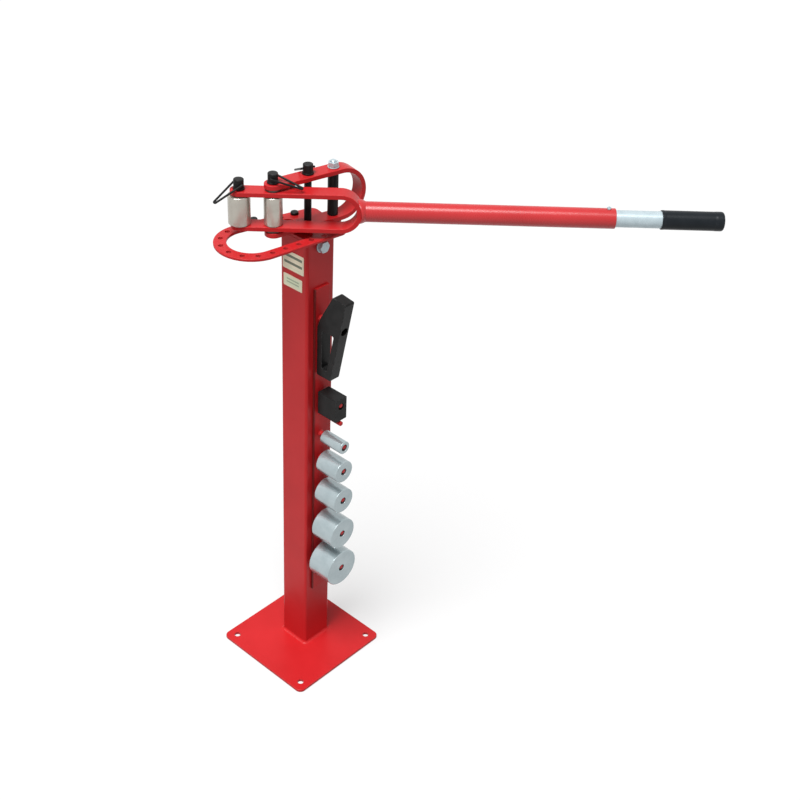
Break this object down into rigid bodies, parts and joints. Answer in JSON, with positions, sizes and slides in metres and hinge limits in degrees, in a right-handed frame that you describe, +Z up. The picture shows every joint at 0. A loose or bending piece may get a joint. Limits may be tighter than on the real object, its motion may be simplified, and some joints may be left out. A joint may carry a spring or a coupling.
{
  "type": "pedestal compact bender",
  "caption": "Floor-standing manual bender: square post, swing arm with telescoping handle, round dies on quick pins, index plate with stop holes and spare dies parked on pegs.",
  "frame": {"origin": "on the floor, at the axis of the square post", "axes": "+Z up the post; -X is the post face with the labels, -Y is the face with the pegs"},
  "size_m": [0.6387, 0.6432, 1.0602],
  "materials": {
    "red_paint": "glossy powder coat with light orange peel",
    "black_oxide": "black oxide, slightly oily",
    "zinc_plate": "bright zinc plating",
    "turned_steel": "lathe turned, zinc washed",
    "soft_rubber": "moulded rubber grip",
    "label_film": "plain cream vinyl film"
  },
  "bodies": {
    "stand": {"base_plate": "red_paint", "post_tube": "red_paint", "post_weld": "red_paint", "head_socket": "black_oxide", "cap_plate": "red_paint", "cross_washer_front": "zinc_plate", "cross_bolt": "zinc_plate", "cross_washer_back": "zinc_plate", "cross_nut": "zinc_plate", "peg_rail": "red_paint", "peg_die_3": "red_paint", "peg_die_2h": "red_paint", "peg_die_2": "red_paint", "peg_die_1t": "red_paint", "peg_die_1": "red_paint", "peg_spare": "red_paint", "peg_block": "red_paint", "peg_yoke": "red_paint", "label_upper": "label_film", "label_lower": "label_film", "index_ring": "red_paint", "fixed_frame": "red_paint", "spacer_sleeve": "black_oxide", "spacer_bolt": "zinc_plate", "spacer_washer": "zinc_plate", "spacer_nut": "zinc_plate", "pivot_washer_low": "zinc_plate", "pivot_washer_high": "zinc_plate"},
    "arm": {"swing_frame": "red_paint", "handle_tube": "red_paint", "handle_weld": "red_paint", "set_screw": "zinc_plate"},
    "extension": {"extension_tube": "zinc_plate", "hand_grip": "soft_rubber"},
    "centre_die": {"centre_die": "turned_steel"},
    "forming_die": {"forming_die": "turned_steel"},
    "centre_pin": {"centre_pin": "black_oxide"},
    "centre_bail": {"centre_bail": "black_oxide"},
    "die_pin": {"die_pin": "black_oxide"},
    "die_bail": {"die_bail": "black_oxide"},
    "hold_pin": {"hold_pin": "black_oxide"},
    "hold_bail": {"hold_bail": "black_oxide"},
    "stop_pin_rear": {"stop_pin_rear": "black_oxide"},
    "stop_pin_front": {"stop_pin_front": "black_oxide"},
    "die_3": {"die_3": "turned_steel"},
    "die_2h": {"die_2h": "turned_steel"},
    "die_2": {"die_2": "turned_steel"},
    "die_1t": {"die_1t": "turned_steel"},
    "die_1": {"die_1": "turned_steel"},
    "square_block": {"square_block": "black_oxide"},
    "angle_yoke": {"angle_yoke": "black_oxide"}
  },
  "joints": [
    {"name": "arm_swing", "type": "hinge", "parent": "stand", "child": "arm", "pos_m": [-0.06663, 0.01356, 0.9943], "axis": [0, 0, 1], "range_deg": [-111, 15]},
    {"name": "extension_slide", "type": "slide", "parent": "arm", "child": "extension", "axis": [0.6947, -0.7193, 0], "range_m": [-0.075, 0.12]},
    {"name": "centre_die_turn", "type": "hinge", "parent": "arm", "child": "centre_die", "pos_m": [-0.06663, 0.01356, 0.9936], "axis": [0, 0, 1], "continuous": true},
    {"name": "forming_die_turn", "type": "hinge", "parent": "arm", "child": "forming_die", "pos_m": [-0.10554, 0.05384, 0.9936], "axis": [0, 0, 1], "continuous": true},
    {"name": "centre_pin_lift", "type": "slide", "parent": "stand", "child": "centre_pin", "axis": [0, 0, 1], "range_m": [0, 0.115]},
    {"name": "die_pin_lift", "type": "slide", "parent": "arm", "child": "die_pin", "axis": [0, 0, 1], "range_m": [0, 0.085]},
    {"name": "hold_pin_lift", "type": "slide", "parent": "stand", "child": "hold_pin", "axis": [0, 0, 1], "range_m": [0, 0.115]},
    {"name": "centre_bail_tilt", "type": "hinge", "parent": "centre_pin", "child": "centre_bail", "pos_m": [-0.06663, 0.01356, 1.0527], "axis": [-0.848, -0.5299, 0], "range_deg": [0, 110]},
    {"name": "die_bail_tilt", "type": "hinge", "parent": "die_pin", "child": "die_bail", "pos_m": [-0.10554, 0.05384, 1.0401], "axis": [0.2079, 0.9781, 0], "range_deg": [0, 110]},
    {"name": "hold_bail_tilt", "type": "hinge", "parent": "hold_pin", "child": "hold_bail", "pos_m": [0, 0, 1.0527], "axis": [0.9455, -0.3256, 0], "range_deg": [0, 110]},
    {"name": "stop_pin_rear_lift", "type": "slide", "parent": "stand", "child": "stop_pin_rear", "axis": [0, 0, 1], "range_m": [0, 0.025]},
    {"name": "stop_pin_front_lift", "type": "slide", "parent": "stand", "child": "stop_pin_front", "axis": [0, 0, 1], "range_m": [0, 0.025]},
    {"name": "die_3_slide", "type": "slide", "parent": "stand", "child": "die_3", "axis": [0, -1, 0], "range_m": [0, 0.06]},
    {"name": "die_2h_slide", "type": "slide", "parent": "stand", "child": "die_2h", "axis": [0, -1, 0], "range_m": [0, 0.06]},
    {"name": "die_2_slide", "type": "slide", "parent": "stand", "child": "die_2", "axis": [0, -1, 0], "range_m": [0, 0.06]},
    {"name": "die_1t_slide", "type": "slide", "parent": "stand", "child": "die_1t", "axis": [0, -1, 0], "range_m": [0, 0.06]},
    {"name": "die_1_slide", "type": "slide", "parent": "stand", "child": "die_1", "axis": [0, -1, 0], "range_m": [0, 0.06]},
    {"name": "square_block_slide", "type": "slide", "parent": "stand", "child": "square_block", "axis": [0, -1, 0], "range_m": [0, 0.055]},
    {"name": "angle_yoke_slide", "type": "slide", "parent": "stand", "child": "angle_yoke", "axis": [0, -1, 0], "range_m": [0, 0.05]}
  ]
}
